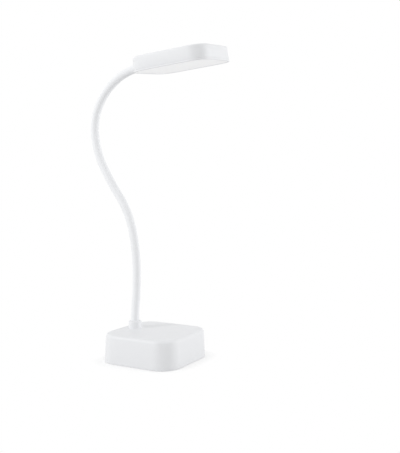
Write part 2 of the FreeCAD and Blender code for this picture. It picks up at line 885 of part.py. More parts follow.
def nut(label, placement):
    """The hexagon nut that clamps a ferrule; it hangs below the placement."""
    body = new_body(label, placement)
    outline = sketch_on(body, "XY_Plane", -size("nut_thickness"))
    draw_flats(outline, size("nut_across_flats") / math.sqrt(3), 6)
    draw_flats(outline, size("thread_radius") + size("thread_fit"), FITTING_SIDES)
    pad(body, outline, size("nut_thickness"))
    return body


# ---------------------------------------------------------------- head

last_link = CHAIN[-1]
forward = along(last_link.end_heading)
collar_reach = size("head_collar_height")
seat_rise = size("head_seat_rise")
wall_point = last_link.end + forward * (collar_reach + seat_rise).value
head_turned = Rotation(forward * -1, size("head_roll").value)
head_level = Rotation(SIDEWAYS, forward * -1, Vector(), "YXZ")
HEAD = Placement(wall_point, head_turned.multiply(head_level))
HEAD_SEAT = neck_frame(last_link.end + forward * collar_reach.value, last_link.end_heading + 180)
head_bottom = size("head_height") / -2
head_top = size("head_height") / 2
seam = head_bottom + size("bezel_height")
head_middle = size("head_depth") / -2
head_lean = slope(size("head_draft"))
recess = size("diffuser_inset") + size("diffuser_thickness")
led_board_top = head_top - size("head_wall") - size("led_board_drop")
led_board_bottom = led_board_top - size("led_board_thickness")
head_inside = size("head_height") * head_lean + size("head_wall")
led_board_width = size("head_width") - (head_inside + size("led_board_margin")) * 2
led_board_back = -size("led_board_back")
led_board_front = head_inside + size("led_board_margin") - size("head_depth")
led_board_depth = led_board_back - led_board_front
led_board_middle = (led_board_back + led_board_front) / 2
led_post_x = led_board_width / 2 - size("standoff_width")
LED_POSTS = [(led_post_x * side, led_board_middle) for side in (-1, 1)]


def head_outline(sketch, level, inset=0):
    """The head's drafted outline at a height, set in by an inset; its back wall is near y = 0."""
    lean = (level - head_bottom) * head_lean + inset
    width = size("head_width") - lean * 2
    depth = size("head_depth") - lean * 2
    draw_rounded(sketch, width, depth, size("head_corner") - lean, 0, head_middle)


def head_housing():
    """The shallow moulded hood of the head, with its neck seat and board posts."""
    body = new_body("head_housing", HEAD)
    outline = sketch_on(body, "XY_Plane", seam)
    head_outline(outline, seam)
    shell = pad(body, outline, head_top - seam, TaperAngle=-size("head_draft"))
    dress_edges(body, shell, "Chamfer", level_at(head_top), Size=size("head_bevel"))
    inside = sketch_on(body, "XY_Plane", seam)
    head_outline(inside, head_top, size("head_wall"))
    pocket(body, inside, head_top - size("head_wall") - seam)
    posts = sketch_on(body, "XY_Plane", led_board_top)
    for x, y in LED_POSTS:
        draw_square(posts, size("standoff_width"), x, y)
    pad(body, posts, size("led_board_drop") + size("head_wall") / 2)
    pilots = sketch_on(body, "XY_Plane", led_board_top)
    for x, y in LED_POSTS:
        draw_flats(pilots, size("small_screw_radius") + size("thread_fit"), SCREW_SIDES, x, y)
    pocket(body, pilots, size("small_screw_bite"))
    seat = sketch_on(body, "XZ_Plane", -seat_rise)
    draw_flats(seat, size("head_collar_radius"), COLLAR_SIDES)
    pad(body, seat, size("head_wall") / 2 + seat_rise)
    inner_seat = sketch_on(body, "XZ_Plane", size("head_wall") / 2)
    draw_flats(inner_seat, size("neck_radius"), FITTING_SIDES)
    pad(body, inner_seat, size("head_wall") / 2 + size("head_seat_thickness"))
    hole = sketch_on(body, "XZ_Plane", -(seat_rise * 2))
    draw_flats(hole, size("thread_radius") + size("hole_fit"), FITTING_SIDES)
    pocket(body, hole, seat_rise * 3 + size("head_wall") + size("head_seat_thickness"))
    return body


def head_bezel():
    """The rim that closes the head: it centres in the hood and carries the diffuser."""
    body = new_body("head_bezel", HEAD)
    outline = sketch_on(body, "XY_Plane", head_bottom)
    head_outline(outline, head_bottom)
    pad(body, outline, size("bezel_height"), TaperAngle=-size("head_draft"))
    lip = sketch_on(body, "XY_Plane", seam)
    head_outline(lip, head_top, size("head_wall") + size("hole_fit"))
    pad(body, lip, size("bezel_lip"))
    window = sketch_on(body, "XY_Plane", head_bottom)
    head_outline(window, head_bottom, size("bezel_rim"))
    pocket(body, window, recess)
    light_way = sketch_on(body, "XY_Plane", head_bottom)
    head_outline(light_way, head_bottom, size("bezel_rim") + size("bezel_ledge"))
    pocket(body, light_way, size("bezel_height") + size("bezel_lip"))
    return body


def diffuser():
    """The opal plate that the light comes through."""
    body = new_body("diffuser", HEAD)
    outline = sketch_on(body, "XY_Plane", head_bottom + size("diffuser_inset"))
    head_outline(outline, head_bottom, size("bezel_rim") + size("lining_fit"))
    pad(body, outline, size("diffuser_thickness"))
    return body


def led_board():
    """The aluminium board that carries the lights and takes their heat."""
    body = new_body("led_board", HEAD)
    outline = sketch_on(body, "XY_Plane", led_board_bottom)
    draw_rectangle(outline, led_board_width, led_board_depth, 0, led_board_middle)
    for x, y in LED_POSTS:
        draw_flats(outline, size("small_screw_radius") + size("hole_fit"), SCREW_SIDES, x, y)
    pad(body, outline, size("led_board_thickness"))
    return body


def led_board_screws():
    """Two small screws up into the hood's posts."""
    places = [vector(x, y, led_board_bottom) for x, y in LED_POSTS]
    return screws(
        "led_board_screws", places, size("small_screw_radius"),
        size("small_screw_bite") + size("led_board_thickness") - size("hole_fit"),
        size("small_screw_head_radius"), size("small_screw_head_height"), HEAD,
    )


def leds():
    """The light-emitting diodes, in rows on the underside of their board."""
    columns, rows = int(size("led_columns").value), int(size("led_rows").value)
    width, depth, thickness = size("led_width"), size("led_depth"), size("led_thickness")
    pitch_x = (led_board_width - size("led_side_margin") * 2) / (columns - 1)
    pitch_y = (led_board_depth - size("led_end_margin") * 2) / (rows - 1)
    solids = []
    for column in range(columns):
        for row in range(rows):
            x = pitch_x * (column - (columns - 1) / 2) - width / 2
            y = pitch_y * (row - (rows - 1) / 2) + led_board_middle - depth / 2
            corner = vector(x, y, led_board_bottom - thickness)
            solids.append(block(width, depth, thickness, corner, HEAD))
    return group("leds", solids)


def led_plug():
    """The small connector under the board's back edge, where the lead ends."""
    width, depth, height = size("plug_width"), size("plug_depth"), size("plug_height")
    place = vector(width / -2, led_board_back - depth, led_board_bottom - height)
    plug = block(width, depth, height, place, HEAD)
    plug.Label = "led_plug"
    return plug


# ---------------------------------------------------------------- assembly

BASE_SEAT = Placement(vector(0, neck_back, size("base_height")), Rotation())
BASE_NUT_SEAT = Placement(vector(0, neck_back, seat_face), Rotation())
head_wall_depth = seat_rise + size("head_wall") + size("head_seat_thickness")
HEAD_NUT_SEAT = HEAD_SEAT.multiply(Placement(vector(0, 0, -head_wall_depth), Rotation()))

SUBPARTS = [
    base_housing(),
    base_bottom_cover(),
    anti_slip_pad(),
    base_screws(),
    ballast_plate(),
    battery_cradle(),
    battery_cell(),
    control_board(),
    board_screws(),
    board_components(),
    usb_socket(),
    touch_electrode(),
    touch_board(),
    collar("base_collar", BASE_SEAT, size("collar_radius"), size("collar_height")),
    ferrule("base_ferrule", BASE_SEAT),
    nut("base_nut", BASE_NUT_SEAT),
    collar("head_collar", HEAD_SEAT, size("head_collar_radius"), size("head_collar_height")),
    ferrule("head_ferrule", HEAD_SEAT),
    nut("head_nut", HEAD_NUT_SEAT),
    head_housing(),
    head_bezel(),
    diffuser(),
    led_board(),
    led_board_screws(),
    leds(),
    led_plug(),
]
for number in range(LINKS):
    SUBPARTS.append(neck_sleeve(number))
    SUBPARTS.append(neck_hose(number))
    SUBPARTS.append(neck_lead(number))

document.recompute()
for item in document.Objects:
    if "Invalid" in item.State or "Error" in item.State:
        raise ValueError(f"{item.Label} did not recompute: {item.State}")
for subpart in SUBPARTS:
    if subpart.Shape.isNull() or not subpart.Shape.isValid():
        raise ValueError(f"{subpart.Label} has no valid shape")

os.makedirs("parts", exist_ok=True)
for subpart in SUBPARTS:
    subpart.Shape.exportStep(f"parts/{subpart.Label}.step")
print(f"{len(SUBPARTS)} sub-parts written")
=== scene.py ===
# %% [markdown]
# # A small rechargeable desk lamp
# The lamp has three white parts: a moulded base, a gooseneck under a soft sleeve, and a
# shallow head with an opal light panel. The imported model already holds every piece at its
# real size. This script loads it as a fixed frame and models the surfaces that are seen:
# softly rounded shells, a continuous skin for the neck, and their finishes.

# %% Load the frame
import json
import math

import bmesh
import bpy
from mathutils import Matrix, Vector


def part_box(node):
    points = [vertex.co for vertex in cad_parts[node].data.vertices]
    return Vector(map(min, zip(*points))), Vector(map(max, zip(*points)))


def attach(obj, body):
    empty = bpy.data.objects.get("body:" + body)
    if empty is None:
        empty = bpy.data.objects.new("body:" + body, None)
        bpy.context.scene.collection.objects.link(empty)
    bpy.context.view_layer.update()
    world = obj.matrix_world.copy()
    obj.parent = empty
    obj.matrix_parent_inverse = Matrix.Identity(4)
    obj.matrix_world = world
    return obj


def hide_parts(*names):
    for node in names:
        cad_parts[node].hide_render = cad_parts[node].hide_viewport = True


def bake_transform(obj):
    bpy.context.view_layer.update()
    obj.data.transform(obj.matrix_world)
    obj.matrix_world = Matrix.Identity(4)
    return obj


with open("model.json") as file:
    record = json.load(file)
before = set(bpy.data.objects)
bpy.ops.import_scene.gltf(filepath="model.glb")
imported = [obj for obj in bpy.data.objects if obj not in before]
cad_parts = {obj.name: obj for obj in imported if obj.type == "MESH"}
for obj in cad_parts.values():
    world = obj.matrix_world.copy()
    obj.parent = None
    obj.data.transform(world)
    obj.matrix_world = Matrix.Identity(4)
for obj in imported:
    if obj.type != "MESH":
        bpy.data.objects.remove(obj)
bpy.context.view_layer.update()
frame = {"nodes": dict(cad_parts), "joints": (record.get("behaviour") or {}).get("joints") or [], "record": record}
MM = 0.001
joints = frame["joints"]
mounts = {mount["name"]: mount for mount in frame["record"]["mounts"]}

# %% [markdown]
# ## Sizes
# A few sizes of the mouldings are repeated here, in millimetres, because a shell is drawn
# from its outline, its draft and its roundings. Places come from the frame: the base's box,
# the collar's box and the joints of the neck.

# %% Sizes of the mouldings
BASE_WIDTH = 100.0
BASE_CORNER = 23.0
BASE_DRAFT = math.radians(2.9)
BASE_ROUND = 3.8
BASE_WALL = 2.4
HEAD_WIDTH = 79.8
HEAD_DEPTH = 98.9
HEAD_HEIGHT = 17.3
HEAD_CORNER = 19.1
HEAD_DRAFT = math.radians(3.0)
HEAD_ROUND = 2.2
HEAD_WALL = 2.0
HEAD_ROLL = math.radians(-9.1)
BEZEL_HEIGHT = 2.2
BEZEL_RIM = 1.6
BEZEL_LEDGE = 2.4
BEZEL_LIP = 1.0
DIFFUSER_INSET = 0.3
DIFFUSER_THICKNESS = 1.1
NECK_RADIUS = 5.0
COLLAR_THROAT = 5.1
THREAD_HOLE = 4.3
HEAD_COLLAR_RADIUS = 6.5
HEAD_COLLAR_HEIGHT = 9.0
HEAD_SEAT_RISE = 0.5
LAST_TURN = math.radians(-19.6)
PORT_WIDTH = 9.6
PORT_HEIGHT = 3.9

# %% [markdown]
# ## A way to write shader maths
# A material's grain or colour variation is arithmetic on textures. It could be wired node by
# node, but wrapping a socket in a small class lets it be written as a Python expression, and
# each operator adds its Math node.

# %% Shader expressions


class Value:
    """A number that a shader node gives; arithmetic on it adds Math nodes."""

    def __init__(self, nodes, socket):
        self.nodes = nodes
        self.socket = socket

    def maths(self, operation, first, second=0.0):
        settings = {"operation": operation}
        return self.nodes.value("ShaderNodeMath", 0, settings, {0: first, 1: second})

    def __add__(self, other):
        return self.maths("ADD", self, other)

    def __sub__(self, other):
        return self.maths("SUBTRACT", self, other)

    def __mul__(self, other):
        return self.maths("MULTIPLY", self, other)

    def __rsub__(self, other):
        return self.maths("SUBTRACT", other, self)

    def __pow__(self, other):
        return self.maths("POWER", self, other)

    def __gt__(self, other):
        return self.maths("GREATER_THAN", self, other)

    def __lt__(self, other):
        return self.maths("LESS_THAN", self, other)

    def __abs__(self):
        return self.maths("ABSOLUTE", self)

    __radd__ = __add__
    __rmul__ = __mul__


# %% [markdown]
# ## One method for every other node
# Nodes differ only in their kind, their settings and what goes into their sockets. So one
# method adds any of them, for a material or for the world, and a finish builds on it: it
# starts from a Principled shader and knows the textures that the lamp's surfaces need.

# %% Node trees


class Nodes:
    """A node tree under construction, for a material or for the world."""

    def __init__(self, tree):
        self.tree = tree

    def node(self, kind, settings=None, inputs=None):
        """Add a node: its settings first, then a value or a link for each named socket."""
        made = self.tree.nodes.new(kind)
        for key, value in (settings or {}).items():
            setattr(made, key, value)
        for key, value in (inputs or {}).items():
            if isinstance(value, Value):
                self.tree.links.new(value.socket, made.inputs[key])
            else:
                made.inputs[key].default_value = value
        return made

    def value(self, kind, output=0, settings=None, inputs=None):
        return Value(self, self.node(kind, settings, inputs).outputs[output])

    def shown(self):
        """1 for a ray that shows the studio, straight or mirrored; 0 for one that lights it."""
        path = self.node("ShaderNodeLightPath")
        names = ("Is Camera Ray", "Is Glossy Ray", "Is Transmission Ray")
        camera, glossy, through = [Value(self, path.outputs[name]) for name in names]
        return camera + glossy + through


# %% Finishes


class Finish(Nodes):
    """One material under construction, around a Principled shader."""

    def __init__(self, name, **settings):
        self.material = bpy.data.materials.new(name)
        self.material.use_nodes = True
        super().__init__(self.material.node_tree)
        self.shader = self.tree.nodes["Principled BSDF"]
        for key, value in settings.items():
            self.shader.inputs[key.replace("_", " ")].default_value = value

    def place(self):
        """The point being shaded, in the object's own metres."""
        return self.value("ShaderNodeTexCoord", "Object")

    def noise(self, size_mm, detail=2.0, roughness=0.5, stretch=None):
        """Soft noise from 0 to 1 whose blotches are about this many millimetres wide."""
        point = self.place()
        if stretch:
            point = self.value("ShaderNodeMapping", 0, None, {"Vector": point, "Scale": stretch})
        inputs = {"Vector": point, "Scale": 1 / (size_mm * MM)}
        inputs |= {"Detail": detail, "Roughness": roughness}
        return self.value("ShaderNodeTexNoise", "Fac", None, inputs)

    def cells(self, size_mm):
        """The distance to the nearest of many scattered points, for a stipple."""
        inputs = {"Vector": self.place(), "Scale": 1 / (size_mm * MM)}
        return self.value("ShaderNodeTexVoronoi", "Distance", None, inputs)

    def axes(self):
        """The point's x, y and z as three values."""
        split = self.node("ShaderNodeSeparateXYZ", None, {0: self.place()})
        return [Value(self, split.outputs[axis]) for axis in range(3)]

    def blend(self, mask, low, high):
        """A colour between two, by a mask."""
        settings = {"data_type": "RGBA"}
        inputs = {0: mask, 6: (*low, 1.0), 7: (*high, 1.0)}
        return self.value("ShaderNodeMix", 2, settings, inputs)

    def feed(self, socket, value):
        self.tree.links.new(value.socket, self.shader.inputs[socket])

    def relief(self, height, depth_mm, strength=1.0):
        """Bump the surface by a height from 0 to 1 that stands for this many millimetres."""
        inputs = {"Height": height, "Distance": depth_mm * MM, "Strength": strength}
        self.feed("Normal", self.value("ShaderNodeBump", 0, None, inputs))


# %% [markdown]
# ## Colours
# A colour is easiest to choose in the display values of a paint program, from 0 to 255. The
# shader works with light, so each value is first taken through the display's curve. All the
# colours here are brighter than the short straight stretch at the curve's dark end.

# %% Colour helpers


def linear(*colour):
    """A colour written in 0 to 255 display values, as the shader wants it."""
    return tuple(((level / 255 + 0.055) / 1.055) ** 2.4 for level in colour)


def shaded(colour, share):
    """The same colour, darker."""
    return tuple(level * share for level in colour)


print("white paper as light", [round(level, 3) for level in linear(245, 245, 245)])


# %% [markdown]
# ## White moulded plastic
# The housings are injection-moulded in white ABS with a fine satin texture, as a spark-eroded
# mould leaves it. The grain is far too small to see as dots, but it softens the highlights,
# and long soft noise keeps the wide faces from looking computed. The touch switch under the
# base's top is marked by a faint ring, drawn in the colour because it has no height.

# %% Moulded plastic
WHITE = (236, 237, 239)
MARK_RADIUS = 4.2
MARK_LINE = 0.9


def moulded_plastic(name, colour, roughness=0.42, mark=None):
    """Satin white plastic, with a faint printed ring above the touch switch if asked."""
    finish = Finish(name, IOR=1.46, Specular_IOR_Level=0.3)
    shade = finish.noise(38.0, detail=1.0) * 0.5 + 0.5
    if mark:
        x, y, z = finish.axes()
        east, north = x - mark.x, y - mark.y
        away = (east * east + north * north) ** 0.5
        on_line = abs(away - MARK_RADIUS * MM) < MARK_LINE / 2 * MM
        shade = shade - on_line * (z > mark.z)
    lighter = linear(*colour)
    finish.feed("Base Color", finish.blend(shade, shaded(lighter, 0.95), lighter))
    grain = finish.noise(0.28, detail=2.0, roughness=0.6)
    finish.feed("Roughness", roughness - 0.03 + grain * 0.06)
    finish.relief(grain, 0.012, 0.5)
    return finish.material


touch_low, touch_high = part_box("touch_electrode")
white_plastic = moulded_plastic("white_moulded_plastic", WHITE)
base_plastic = moulded_plastic("marked_moulded_plastic", WHITE, mark=(touch_low + touch_high) / 2)
cover_plastic = moulded_plastic("cover_plastic", (228, 229, 231), 0.5)
print("plastics", white_plastic.name, base_plastic.name, cover_plastic.name)

# %% [markdown]
# ## Silicone, opal and rubber
# The neck's sleeve is soft silicone, duller than the housings, so it mirrors very little.
# The light panel is opal acrylic, lit evenly from behind, so it gives a little light of its
# own. The pad under the base is grey rubber with a stipple.

# %% Soft and lit finishes


def silicone():
    finish = Finish("soft_silicone", IOR=1.41, Specular_IOR_Level=0.2)
    cloud = finish.noise(9.0, detail=2.0)
    colour = linear(242, 243, 245)
    finish.feed("Base Color", finish.blend(cloud, shaded(colour, 0.97), colour))
    skin = finish.noise(2.4, detail=1.0)
    finish.feed("Roughness", 0.54 + skin * 0.08)
    finish.relief(skin, 0.01, 0.1)
    return finish.material


def opal_panel():
    finish = Finish("opal_panel", IOR=1.49, Roughness=0.3, Emission_Strength=0.08)
    cloud = finish.noise(22.0, detail=1.0)
    finish.feed("Base Color", finish.blend(cloud, linear(243, 243, 244), linear(247, 247, 248)))
    finish.feed("Emission Color", finish.blend(cloud, (0.93, 0.94, 0.96), (1.0, 1.0, 1.0)))
    frost = finish.noise(0.35, detail=2.0)
    finish.relief(frost, 0.008, 0.4)
    return finish.material


def pad_rubber():
    finish = Finish("pad_rubber", IOR=1.5, Specular_IOR_Level=0.3)
    dust = finish.noise(6.0, detail=3.0)
    finish.feed("Base Color", finish.blend(dust, linear(168, 170, 172), linear(182, 184, 186)))
    stipple = finish.cells(1.1)
    finish.feed("Roughness", 0.72 + dust * 0.12)
    finish.relief(1.0 - stipple, 0.06, 0.5)
    return finish.material


soft_silicone = silicone()
opal = opal_panel()
rubber_pad = pad_rubber()
print("soft finishes", soft_silicone.name, opal.name, rubber_pad.name)

# %% [markdown]
# ## Finishes inside
# The pieces inside are seen only through the charging port or when the lamp is taken apart,
# but each still gets the finish it has on a bench: turned steel, green solder mask, copper
# foil, the cell's shrink wrap and the yellow phosphor of the lights.

# %% Inner finishes


def metal(name, colour, roughness, streak=(1, 1, 14)):
    finish = Finish(name, Metallic=1.0)
    lines = finish.noise(1.2, detail=4.0, stretch=streak)
    shade = linear(*colour)
    finish.feed("Base Color", finish.blend(lines, shaded(shade, 0.9), shade))
    finish.feed("Roughness", roughness - 0.05 + lines * 0.12)
    finish.relief(lines, 0.01, 0.3)
    return finish.material


def coated(name, colour, roughness, size_mm=2.0):
    finish = Finish(name, IOR=1.5)
    cloud = finish.noise(size_mm, detail=3.0)
    shade = linear(*colour)
    finish.feed("Base Color", finish.blend(cloud, shaded(shade, 0.88), shade))
    finish.feed("Roughness", roughness - 0.04 + cloud * 0.08)
    finish.relief(cloud, 0.01, 0.3)
    return finish.material


# %% [markdown]
# ## Every piece gets its finish
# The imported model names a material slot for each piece. A table from slot to finish serves
# them all at once. Only the bottom cover and the battery's cradle differ from their slot:
# they are of a slightly greyer plastic.

# %% Finishes for the slots
slot_finishes = {
    "white_plastic": white_plastic,
    "white_silicone": soft_silicone,
    "opal_diffuser": opal,
    "grey_rubber": rubber_pad,
    "steel": metal("zinc_plated_steel", (188, 190, 194), 0.32),
    "copper": metal("copper_foil", (214, 150, 112), 0.35, (14, 1, 1)),
    "board_aluminium": coated("white_solder_mask", (228, 229, 230), 0.45),
    "cell_wrap": coated("shrink_wrap", (84, 138, 178), 0.28, 8.0),
    "circuit_board": coated("green_solder_mask", (34, 98, 62), 0.35),
    "component_plastic": coated("black_component_plastic", (44, 44, 47), 0.5),
    "led_phosphor": coated("yellow_phosphor", (246, 214, 120), 0.4),
    "lead_wire": coated("lead_insulation", (222, 222, 222), 0.5),
}
for subpart in frame["record"]["subparts"]:
    node = frame["nodes"][subpart["node"]]
    for material_slot in node.material_slots:
        material_slot.material = slot_finishes[subpart["material_slot"]]
for name in ("base_bottom_cover", "battery_cradle"):
    for material_slot in frame["nodes"][name].material_slots:
        material_slot.material = cover_plastic

# %% [markdown]
# ## Rings, sections and shells
# The housings share one shape: a rectangle with round corners whose walls lean in a little,
# so that they leave the mould. One ring of that outline is drawn for each point of the wall's
# section, and neighbouring rings are joined by faces. A closed section makes a frame-like
# ring; an open one is capped at both ends and makes a shell with a real wall.

# %% Ring helpers
CORNER_STEPS = 14


def outline_ring(width, depth, corner, level):
    """Points of a round-cornered rectangle at one level, counter-clockwise."""
    points = []
    for quarter in range(4):
        sign_x = 1 if quarter in (0, 3) else -1
        sign_y = 1 if quarter in (0, 1) else -1
        centre_x = sign_x * (width / 2 - corner)
        centre_y = sign_y * (depth / 2 - corner)
        for step in range(CORNER_STEPS + 1):
            angle = math.pi / 2 * (quarter + step / CORNER_STEPS)
            points.append(Vector((
                centre_x + corner * math.cos(angle),
                centre_y + corner * math.sin(angle),
                level,
            )))
    return points


def circle_ring(radius, level, sides):
    """Points of a circle at one level, counter-clockwise."""
    angles = [math.tau * step / sides for step in range(sides)]
    return [Vector((radius * math.cos(a), radius * math.sin(a), level)) for a in angles]


def join_rings(name, rings, placement, closed=False):
    """Faces between rings; the ends are capped, or joined when the section is closed."""
    mesh = bpy.data.meshes.new(name)
    made = bmesh.new()
    count = len(rings[0])
    loops = [[made.verts.new(placement @ point * MM) for point in ring] for ring in rings]
    pairs = list(zip(loops, loops[1:]))
    if closed:
        pairs.append((loops[-1], loops[0]))
    for low, high in pairs:
        for index in range(count):
            after = (index + 1) % count
            made.faces.new((low[index], low[after], high[after], high[index]))
    if not closed:
        made.faces.new(list(reversed(loops[0])))
        made.faces.new(loops[-1])
    bmesh.ops.recalc_face_normals(made, faces=made.faces)
    made.to_mesh(mesh)
    made.free()
    piece = bpy.data.objects.new(name, mesh)
    bpy.context.scene.collection.objects.link(piece)
    return piece


# %% [markdown]
# ## Sections, edges and holes
# A moulding's edges are quarter rounds, so one helper writes them into a section. Smooth
# shading alone would blur the real edges; it is limited by an angle. Holes and bosses are
# left to Boolean modifiers, which are made part of the mesh at once so that it stays plain.

# %% Finishing helpers


def soften(piece, degrees=32.0):
    """Smooth shading that keeps the real edges crisp."""
    for polygon in piece.data.polygons:
        polygon.use_smooth = True
    piece.data.set_sharp_from_angle(angle=math.radians(degrees))


def quarter(radius, steps):
    """Offsets along a quarter round, from its side to its top."""
    angles = [math.pi / 2 * step / steps for step in range(steps + 1)]
    return [(radius * math.cos(a), radius * math.sin(a)) for a in angles]


def edge_round(radius, steps, level, side):
    """A rounded outer edge, from the wall to a face at this level: the top 1, the foot -1."""
    return [(radius - x, level - side * (radius - z)) for x, z in quarter(radius, steps)]


def settle(piece, material, body, nodes):
    """Give a finished piece its material, its body and the nodes it stands for."""
    piece.data.materials.clear()
    piece.data.materials.append(material)
    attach(piece, body)
    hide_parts(*nodes)
    low, high = Vector(piece.bound_box[0]), Vector(piece.bound_box[6])
    size = (high - low) / MM
    print(f"{piece.name}: {size.x:.1f} x {size.y:.1f} x {size.z:.1f} mm")


def carve(piece, cutters, operation="DIFFERENCE"):
    """Cut holes or add bosses with closed meshes, then keep the result as a plain mesh."""
    for cutter in cutters:
        modifier = piece.modifiers.new("hole", "BOOLEAN")
        modifier.operation = operation
        modifier.object = cutter
        modifier.solver = "EXACT"
    evaluated = piece.evaluated_get(bpy.context.evaluated_depsgraph_get())
    carved = bpy.data.meshes.new_from_object(evaluated)
    piece.modifiers.clear()
    piece.data = carved
    for cutter in cutters:
        bpy.data.objects.remove(cutter)


# %% [markdown]
# ## The base housing
# The base is one deep cap: drafted walls, a soft rounding where they meet the top, and a
# thin foot edge that hangs a quarter of a millimetre clear of the table, where the soft
# shadow closes the gap. Its section starts inside at the ceiling, comes down the inner wall,
# turns round the foot and climbs the outside to the top.

# %% Base housing
base_low, base_high = [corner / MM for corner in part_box("base_housing")]
collar_low, collar_high = [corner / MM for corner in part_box("base_collar")]
neck_back = (collar_low.y + collar_high.y) / 2
FOOT_DROP = 0.35
FOOT_ROUND = 0.15
FOOT_BEVEL = 0.4
BASE_CEILING = 2.6
CEILING_BEVEL = 1.0
foot, top = base_low.z - FOOT_DROP, base_high.z
ceiling = top - BASE_CEILING


def base_ring(inset, level):
    lean = (level - foot) * math.tan(BASE_DRAFT) + inset
    width = BASE_WIDTH - lean * 2
    return outline_ring(width, width, BASE_CORNER - lean, level)


base_section = [(BASE_WALL + CEILING_BEVEL, ceiling), (BASE_WALL, ceiling - CEILING_BEVEL)]
base_section += [(BASE_WALL, foot + FOOT_BEVEL), (BASE_WALL - FOOT_BEVEL, foot)]
base_section += edge_round(FOOT_ROUND, 4, foot, -1)[::-1]
base_section += edge_round(BASE_ROUND, 10, top, 1)
base_shell = join_rings(
    "base_shell", [base_ring(inset, level) for inset, level in base_section], Matrix()
)

# %% [markdown]
# ## The holes in the base
# The neck's fitting goes through the top, and the charging inlet shows in the rear wall. Both
# are cut with Boolean modifiers, as a mould's pins and slides would leave them, and the
# modifiers are made part of the mesh at once.

# %% Cutters for the base
BAR_SIDES = 48
PORT_DEPTH = 6.0
PORT_THROAT = 0.35
PORT_MOUTH = 0.75
PORT_CLEAR = 3.0
PORT_FLARE = 1.1
PORT_ROUNDNESS = 0.98
SEAT_CUT_BELOW = 8.0
SEAT_CUT_ABOVE = 4.0


def round_bar(name, radius, low, high, placement):
    """A closed round bar, from one height to another on the placement's Z axis."""
    return join_rings(name, [circle_ring(radius, z, BAR_SIDES) for z in (low, high)], placement)


def port_ring(reach, flare):
    """The inlet's outline at a reach out of the wall, wider and higher by the flare."""
    height = PORT_HEIGHT + flare
    return outline_ring(PORT_WIDTH + flare, height, height / 2 * PORT_ROUNDNESS, reach)


port = Vector(mounts["charging_port"]["pos_m"]) / MM
port_axis = Matrix.Translation(port) @ Matrix.Rotation(math.radians(-90), 4, "X")
port_rings = [port_ring(-PORT_DEPTH, 0.0), port_ring(-PORT_THROAT, 0.0)]
port_rings += [port_ring(PORT_MOUTH, PORT_FLARE), port_ring(PORT_CLEAR, PORT_FLARE)]
port_cutter = join_rings("port_cutter", port_rings, port_axis)
seat_place = Matrix.Translation(Vector((0, neck_back, 0)))
seat_low, seat_high = top - SEAT_CUT_BELOW, top + SEAT_CUT_ABOVE
seat_cutter = round_bar("seat_cutter", THREAD_HOLE, seat_low, seat_high, seat_place)
carve(base_shell, [port_cutter, seat_cutter])
soften(base_shell)
settle(base_shell, base_plastic, "base", ["base_housing"])

# %% [markdown]
# ## The collars
# A trim ring stands where the neck leaves the base, and a smaller one where it enters the
# head. Each is turned from one section: a straight side and a rounded shoulder down to the
# throat, which nearly touches the sleeve. The base's ring also flares softly at its foot.

# %% Base collar
RING_SIDES = 72
THROAT_BEVEL = 0.25
COLLAR_SHOULDER = 2.0
COLLAR_SWELL = 0.4
COLLAR_FLARE = 0.7


def turned_ring(name, radius, height, shoulder, placement, flare=0.0):
    """A ring turned from its section round the placement's Z axis."""
    section = [(COLLAR_THROAT, 0.0), (radius + flare, 0.0)]
    if flare:
        section += [(radius + flare - x, flare - z) for x, z in quarter(flare, 6)[-2::-1]]
    side, brim = radius - shoulder, height - shoulder
    section += [(side + x, brim + z) for x, z in quarter(shoulder, 8)]
    section += [(COLLAR_THROAT + THROAT_BEVEL, height), (COLLAR_THROAT, height - THROAT_BEVEL)]
    rings = [circle_ring(reach, level, RING_SIDES) for reach, level in section]
    ring = join_rings(name, rings, placement, closed=True)
    soften(ring)
    return ring


collar_radius = (collar_high.x - collar_low.x) / 2 + COLLAR_SWELL
collar_height = collar_high.z - collar_low.z
collar_place = Matrix.Translation(Vector((0, neck_back, collar_low.z)))
base_trim = turned_ring(
    "base_trim_ring", collar_radius, collar_height, COLLAR_SHOULDER, collar_place, COLLAR_FLARE
)
settle(base_trim, white_plastic, "base", ["base_collar"])

# %% [markdown]
# ## The line of the neck
# The neck lies in the plane x = 0 and is made of arcs that run on smoothly from one to the
# next. Each joint of the frame lies on it. Where an arc's start direction and its two ends
# are known, its turn follows: the chord points halfway between the two directions.

# %% Arcs of the neck


def along(heading):
    """The direction of a heading in the plane of the neck; 0 is straight up."""
    return Vector((0, math.sin(heading), math.cos(heading)))


def bow(half):
    """The chord of an arc as a share of its length, from half the angle it turns by."""
    return math.sin(half) / half if half else 1.0


class Arc:
    """One stretch of the neck with an even bend."""

    def __init__(self, start, heading, length, turn):
        self.start, self.heading, self.length, self.turn = start, heading, length, turn

    def point(self, share):
        """The point and the heading after a share of the arc."""
        bend = self.turn * share
        chord = self.length * share * bow(bend / 2)
        return self.start + along(self.heading + bend / 2) * chord, self.heading + bend


point = Vector((0, neck_back, collar_high.z))
heading = 0.0
arcs = []
for joint in joints:
    station = Vector(joint["pos_m"]) / MM
    chord = station - point
    turn = 2 * (math.atan2(chord.y, chord.z) - heading)
    arcs.append(Arc(point, heading, chord.length / bow(turn / 2), turn))
    point, heading = station, heading + turn
link_length = arcs[1].length
arcs.append(Arc(point, heading, link_length / 2, LAST_TURN))
neck_end, end_heading = arcs[-1].point(1.0)
print(f"links of {link_length:.1f} mm, the neck ends at {math.degrees(end_heading):.1f} degrees")
